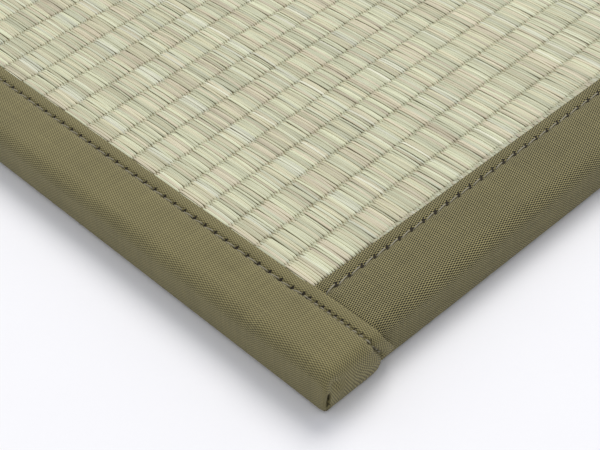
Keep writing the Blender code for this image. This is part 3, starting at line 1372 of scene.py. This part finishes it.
@dataclass(frozen=True)
class RushWeave:
    """The woven face: rows of arched strands whose ends dive between those of the next row."""

    strand_pitch: float = 1.30 * MM
    strand_width: float = 1.50 * MM
    arch: float = 0.95 * MM
    ground: float = 17.9 * MM
    row_pitch: float = 15.42 * MM
    first_crease: float = 0.1 * MM
    overlap: float = 2.2 * MM
    least_shown: float = 1.1 * MM  # strands that would show less past a border's edge are left out
    hidden: float = 1.2 * MM  # how far strands run on under the borders
    tucked: float = 2.4 * MM  # how far the first and last creases may lie under the borders
    dip: float = 0.9 * MM  # how much lower the strands beside the end borders lie
    long_rows: float = 1.7 * MM  # the first rows are a little longer
    longest_row: float = 3.5
    long_row_spread: float = 2.5
    skew: float = 3.0 * MM
    skew_run: float = 120.0 * MM
    waver: float = 1.3 * MM
    waver_along: float = 22.0  # how quickly the creases waver along X, and from row to row
    waver_rows: float = 5.3
    full_room: float = 9.0 * MM  # between creases, where a strand arches to its full height
    thin_share: float = 0.07
    bright_share: float = 0.05
    thinner: float = 0.22
    brighter: float = 0.22
    tones: tuple[float, float] = (0.14, 0.84)
    cluster: Point = (0.20, 31.0, 0.035)  # how quickly neighbours' tones change: column, parity, row
    cluster_gain: float = 0.9
    strand_stray: float = 0.13  # to either side, in strands
    float_stray: float = 0.07
    level_stray: float = 0.10 * MM
    length_stray: float = 0.5 * MM
    lean: float = 0.022
    strand_widths: tuple[float, float] = (0.92, 1.16)
    float_widths: tuple[float, float] = (0.95, 1.06)
    heights: tuple[float, float] = (0.88, 1.10)
    pieces: int = 5
    seed: int = 4
    # The arch: (share of the length, share of the height, share of the width)
    stations: tuple[Point, ...] = (
        (-0.500, -0.30, 0.36), (-0.432, 0.34, 0.58), (-0.340, 0.82, 0.99), (0.0, 1.0, 1.04),
        (0.340, 0.82, 0.99), (0.432, 0.34, 0.58), (0.500, -0.30, 0.36),
    )
    # Across a strand: (share of half the width, drop)
    shoulders: tuple[tuple[float, float], ...] = ((-1.0, 0.62 * MM), (0.08, 0.0), (1.0, 0.66 * MM))

    def strand(self) -> bpy.types.Object:
        """Builds one strand: a low arch one unit long, its ends narrow and low.

        Returns:
            An object that only the tree uses.
        """
        rows = []
        for along, height, width in self.stations:
            half_width, rise = 0.5 * self.strand_width * width, self.arch * height
            across = ((side, rise - drop) for side, drop in self.shoulders)
            rows.append([(half_width * side, along, z, 0.5 + 0.5 * side, 0.5 + along) for side, z in across])
        return keep("strand_pattern", grid_mesh("strand_pattern", rows, RushFinish.uv_map))

    def crease(self, n: NodeWriter, row: Socket, x: Socket, edge: float, half: float) -> Socket:
        """Adds nodes for the place along Y of the crease in front of a row.

        Args:
            n: writes into the tree.
            row: the row's number.
            x: the strand's place along X.
            edge: where the front border's folded edge is.
            half: where the left border's folded edge is.

        Returns:
            The crease's Y.
        """
        y = n.times(row, self.row_pitch, edge + self.first_crease)
        bell = n.math("DIVIDE", n.minus(row, self.longest_row), self.long_row_spread)
        bell = n.math("EXPONENT", n.times(n.times(bell, bell), -1.0))
        y = n.times(bell, self.long_rows, y)
        lean = n.math("EXPONENT", n.math("DIVIDE", n.minus(half, x), self.skew_run))
        y = n.times(n.minus(1.0, lean), self.skew, y)
        wave = n.noise(n.vector(n.times(x, self.waver_along), n.times(row, self.waver_rows)))
        y = n.times(n.minus(wave, 0.5), self.waver, y)
        y = n.math("MAXIMUM", y, edge - self.tucked)
        return n.math("MINIMUM", y, -edge + self.tucked)

    def tree(self, edge: float, half: float) -> bpy.types.NodeTree:
        """Builds the tree that lays the strands.

        Args:
            edge: Y of the front border's folded edge.
            half: X of the left border's folded edge.

        Returns:
            The tree, with named inputs.
        """
        n, given = start_tree("lay_rush_rows", {
            "Strand": "Object", "Columns": "Int", "Rows": "Int", "First Row": "Int", "Strand Pitch": "Float",
            "Level": "Float", "Seed": "Int", "Finish": "Material",
        })
        number = n.node("GeometryNodeInputIndex").outputs[0]
        spots = n.node("GeometryNodePoints", {"Count": n.times(given["Columns"], given["Rows"])}).outputs[0]
        row = n.plus(n.math("FLOOR", n.math("DIVIDE", number, given["Columns"])), given["First Row"])
        column = n.math("FLOORED_MODULO", number, given["Columns"])
        parity = n.math("FLOORED_MODULO", row, 2.0)
        # Every second row shows the same strands, and a float is one strand in one row
        strand = n.times(column, 2.0, parity)
        float_id = n.times(row, 4096.0, column)

        def chance(low: float, high: float, who: Socket, salt: int) -> Socket:
            """Returns a random value for each strand or each float."""
            return n.random(low, high, n.plus(given["Seed"], salt), who)

        shift = n.times(parity, 0.5, n.plus(column, chance(-self.strand_stray, self.strand_stray, strand, 1)))
        shift = n.plus(shift, chance(-self.float_stray, self.float_stray, float_id, 2))
        x = n.times(shift, given["Strand Pitch"], half - self.hidden)
        front = self.crease(n, row, x, edge, half)
        back = self.crease(n, n.plus(row, 1.0), x, edge, half)
        room = n.minus(back, front)
        middle = n.times(n.plus(front, back), 0.5)
        fullness = n.math("DIVIDE", room, self.full_room, clamp=True)

        least = chance(0.85 * self.least_shown, 1.15 * self.least_shown, float_id, 13)
        shown_front = n.math("GREATER_THAN", back, n.plus(least, edge))
        shown_back = n.math("LESS_THAN", front, -edge - self.least_shown)
        unseen = n.math("LESS_THAN", n.math("MINIMUM", shown_front, shown_back), 0.5)
        level = n.plus(given["Level"], chance(-self.level_stray, self.level_stray, float_id, 4))
        beyond = n.plus(n.math("ABSOLUTE", x), half + 0.5 * MM)
        level = n.times(n.math("DIVIDE", beyond, 0.9 * MM, clamp=True), -self.dip, level)
        inputs = {"Geometry": spots, "Position": n.vector(x, middle, level)}
        placed = n.node("GeometryNodeSetPosition", inputs).outputs[0]

        near = (n.times(place, pace) for place, pace in zip((column, parity, row), self.cluster))
        cluster = n.noise(n.vector(*near), detail=1.0)
        tone = n.times(n.minus(cluster, 0.5), self.cluster_gain, chance(*self.tones, strand, 5))
        bright = n.math("GREATER_THAN", chance(0.0, 1.0, strand, 6), 1.0 - self.bright_share)
        tone = n.times(bright, self.brighter, tone)
        # Each float's own random level, less a painted shade on short strands, which lie low beside the
        # borders' folded edges
        shade = n.minus(n.times(chance(0.0, 1.0, float_id, 7), fullness), n.minus(1.0, fullness))
        for name, value in ((RushFinish.tone_attribute, tone), (RushFinish.shade_attribute, shade)):
            stored = {"Geometry": placed, "Name": name, "Value": value}
            placed = n.node("GeometryNodeStoreNamedAttribute", stored, data_type="FLOAT").outputs[0]

        stray = chance(-self.length_stray, self.length_stray, float_id, 3)
        length = n.plus(n.plus(room, self.overlap), stray)
        thin = n.math("GREATER_THAN", chance(0.0, 1.0, float_id, 12), 1.0 - self.thin_share)
        width = n.times(chance(*self.strand_widths, strand, 8), chance(*self.float_widths, float_id, 9))
        width = n.minus(width, n.times(thin, self.thinner))
        height = n.times(fullness, chance(*self.heights, float_id, 10))
        lean = chance(-self.lean, self.lean, float_id, 11)
        shape = n.node("GeometryNodeObjectInfo", {"Object": given["Strand"]}).outputs["Geometry"]
        inputs = {
            "Points": placed, "Selection": n.minus(1.0, unseen), "Instance": shape,
            "Rotation": n.vector(z=lean), "Scale": n.vector(width, length, height),
        }
        return end_tree(n, n.node("GeometryNodeInstanceOnPoints", inputs).outputs[0], given["Finish"])

    def build(self, sizes: MatSizes) -> list[bpy.types.Object]:
        """Lays all the strands, in a few pieces.

        Args:
            sizes: the mat's sizes.

        Returns:
            The pieces of rush.
        """
        edge = -sizes.half + sizes.side_width
        half = -sizes.half + sizes.end_width
        rows = math.ceil(-2.0 * edge / self.row_pitch) + 1
        columns = round((-2.0 * half + 2.0 * self.hidden) / self.strand_pitch)
        strand = self.strand()
        tree = self.tree(edge, half)
        share = math.ceil(rows / self.pieces)
        made = []
        for piece in range(self.pieces):
            first = piece * share - 1
            count = min(share, rows - 1 - first)
            inputs = {
                "Strand": strand, "Columns": columns, "Rows": count, "First Row": first, "Seed": self.seed,
                "Strand Pitch": self.strand_pitch, "Level": self.ground, "Finish": RushFinish().material(),
            }
            laid = laid_by_nodes(f"rush_strands_{piece + 1}", tree, inputs)
            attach(laid, BODY)
            faces = len(laid.data.polygons)
            log.info("%s: %d rows of %d strands, %d faces", laid.name, count, columns, faces)
            made.append(laid)
        bpy.data.objects.remove(strand, do_unlink=True)
        return made


@dataclass(frozen=True)
class Panel:
    """The mat under its face: the flat core with its backing, and the ground of the weave, dark as painted
    shade between the strands.
    """

    rim_top: float = 17.2 * MM
    wrap: float = 1.3 * MM  # room for the cloth round the rim
    edge_round: float = 4.5 * MM
    foot_rise: float = 2.2 * MM
    shoulder: tuple[float, float] = (1.4 * MM, 1.3 * MM)  # in and down
    core_gap: float = 0.3 * MM  # from the open field to the borders
    ground_gap: float = 0.2 * MM
    ground_thickness: float = 1.0 * MM
    ground_top: float = 17.75 * MM
    ground_cells: int = 40
    ground_wave: float = 3.0  # in cells
    ground_waviness: float = 0.08 * MM

    def core(self, sizes: MatSizes) -> bpy.types.Object:
        """Builds the core: low round its rim for the borders, flush with them underneath.

        Args:
            sizes: the mat's sizes.

        Returns:
            The core.
        """
        half = sizes.half - self.wrap
        wide = sizes.half - sizes.end_width - self.core_gap
        deep = sizes.half - sizes.side_width - self.core_gap
        inset, down = self.shoulder
        # Levels from the underside up: (half width, half depth, height)
        levels = (
            (wide, deep, 0.0),
            (wide, deep, self.wrap),
            (half - self.edge_round, half - self.edge_round, self.wrap),
            (half, half, self.wrap + self.foot_rise),
            (half, half, self.rim_top - self.edge_round),
            (half - inset, half - inset, self.rim_top - down),
            (half - self.edge_round, half - self.edge_round, self.rim_top),
            (wide, deep, self.rim_top),
            (wide, deep, self.ground_top - self.ground_thickness),
        )
        points = []
        for x, y, z in levels:
            points += [(-x, -y, z), (x, -y, z), (x, y, z), (-x, y, z)]
        faces = [(3, 2, 1, 0), tuple(range(len(points) - 4, len(points)))]
        for level in range(0, len(points) - 4, 4):
            for side in range(4):
                a, b = level + side, level + (side + 1) % 4
                faces.append((a, b, b + 4, a + 4))
        piece = keep("panel_core", new_mesh("panel_core", points, faces))
        dress(piece, Plain.BACKING.value.material())
        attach(piece, BODY)
        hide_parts("rush_panel")
        log.info("%s: %d faces", piece.name, len(piece.data.polygons))
        return piece

    def ground(self, sizes: MatSizes, strands: Sequence[bpy.types.Object]) -> None:
        """Builds the ground of the weave, which shows dark between the strands as painted shade.

        Args:
            sizes: the mat's sizes.
            strands: the pieces of rush that lie on it; not used.
        """
        wide = sizes.half - sizes.end_width - self.ground_gap
        deep = sizes.half - sizes.side_width - self.ground_gap
        cells = self.ground_cells
        rows = []
        for j in range(cells + 1):
            row = []
            for i in range(cells + 1):
                z = self.ground_top + uneven((i, j, 0.0), self.ground_wave, self.ground_waviness)
                row.append((-wide + 2.0 * wide * i / cells, -deep + 2.0 * deep * j / cells, z, 0.0, 0.0))
            rows.append(row)
        piece = thickened("rush_ground", grid_mesh("rush_ground", rows, "ground"), self.ground_thickness)
        dress(piece, Plain.GROUND.value.material())
        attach(piece, BODY)
        log.info("%s: %d faces", piece.name, len(piece.data.polygons))


@dataclass(frozen=True)
class Studio:
    """Pale floor, soft light and the camera that took the corner's close-up."""

    eye: Point = (-0.6195, -0.6472, 0.3878)
    heading: float = 41.03  # degrees, as the two below
    pitch: float = 43.05
    roll: float = -4.01
    lens: float = 83.8  # millimetres
    floor_half: float = 4.0
    window_place: Point = (3.5, 1.75, 5.75)
    window_aim: Point = (-0.2, -0.2, 0.0)
    window_size: float = 3.8
    window_watts: float = 302.0
    window_tint: Tint = Tint(1.0, 0.98, 0.945)
    room_tint: Tint = Tint(0.93, 0.95, 1.0)
    room_level: float = 0.665

    def camera(self) -> None:
        """Places the camera."""
        data = bpy.data.cameras.new("photo_camera")
        data.lens = self.lens
        data.clip_start = 0.01
        camera = keep("photo_camera", data)
        turn = Matrix.Rotation(math.radians(-self.heading), 4, "Z")
        turn = turn @ Matrix.Rotation(math.radians(90.0 - self.pitch), 4, "X")
        roll = Matrix.Rotation(math.radians(self.roll), 4, "Z")
        camera.matrix_world = Matrix.Translation(self.eye) @ turn @ roll
        bpy.context.scene.camera = camera

    def floor(self) -> None:
        """Lays the floor."""
        half = self.floor_half
        points = [(-half, -half, 0.0), (half, -half, 0.0), (half, half, 0.0), (-half, half, 0.0)]
        floor = keep("floor", new_mesh("floor", points, [(0, 1, 2, 3)]))
        dress(floor, Plain.FLOOR.value.material())

    def window(self) -> None:
        """Hangs the square soft lamp."""
        data = bpy.data.lights.new("window", "AREA")
        data.shape = "SQUARE"
        data.size = self.window_size
        data.energy = self.window_watts
        data.color = self.window_tint.rgba()[:3]
        lamp = keep("window", data)
        lamp.location = self.window_place
        aim = Vector(self.window_aim) - Vector(self.window_place)
        lamp.rotation_euler = aim.to_track_quat("-Z", "Y").to_euler()

    def room(self) -> None:
        """Sets the light that comes from all round."""
        world = bpy.data.worlds.new("room")
        world.use_nodes = True
        background = world.node_tree.nodes["Background"]
        background.inputs["Color"].default_value = self.room_tint.rgba()
        background.inputs["Strength"].default_value = self.room_level
        bpy.context.scene.world = world
        bpy.context.scene.view_settings.view_transform = "Standard"

    def build(self) -> None:
        """Sets up the floor, the lamp, the room's own light and the camera."""
        self.floor()
        self.window()
        self.room()
        self.camera()


def main() -> None:
    """Builds the mat's pieces in order."""
    sizes = MatSizes.read()
    Studio().build()
    panel = Panel()
    panel.core(sizes)
    strands = RushWeave().build(sizes)
    panel.ground(sizes, strands)
    sewing = Sewing()
    side = Section(sizes.side_width, sizes.crown, seam_drop=1.45 * MM, pull=0.5 * MM)
    end = Section(
        sizes.end_width, sizes.crown, seam=5.6 * MM, margin_drop=1.0 * MM, seam_drop=2.0 * MM,
        pull=0.8 * MM, pad_run=2.2 * MM,
    )
    SideBorder("side_border_front", sizes, side, turned=False).build(sewing)
    SideBorder("side_border_back", sizes, side, turned=True).build(sewing)
    EndBorder("end_border_left", sizes, end, turned=False).build(sewing)
    EndBorder("end_border_right", sizes, end, turned=True).build(sewing)
    sewing.put_away()


if __name__ == "__main__":
    logging.basicConfig(level=logging.INFO, format="%(name)s: %(message)s")
    main()
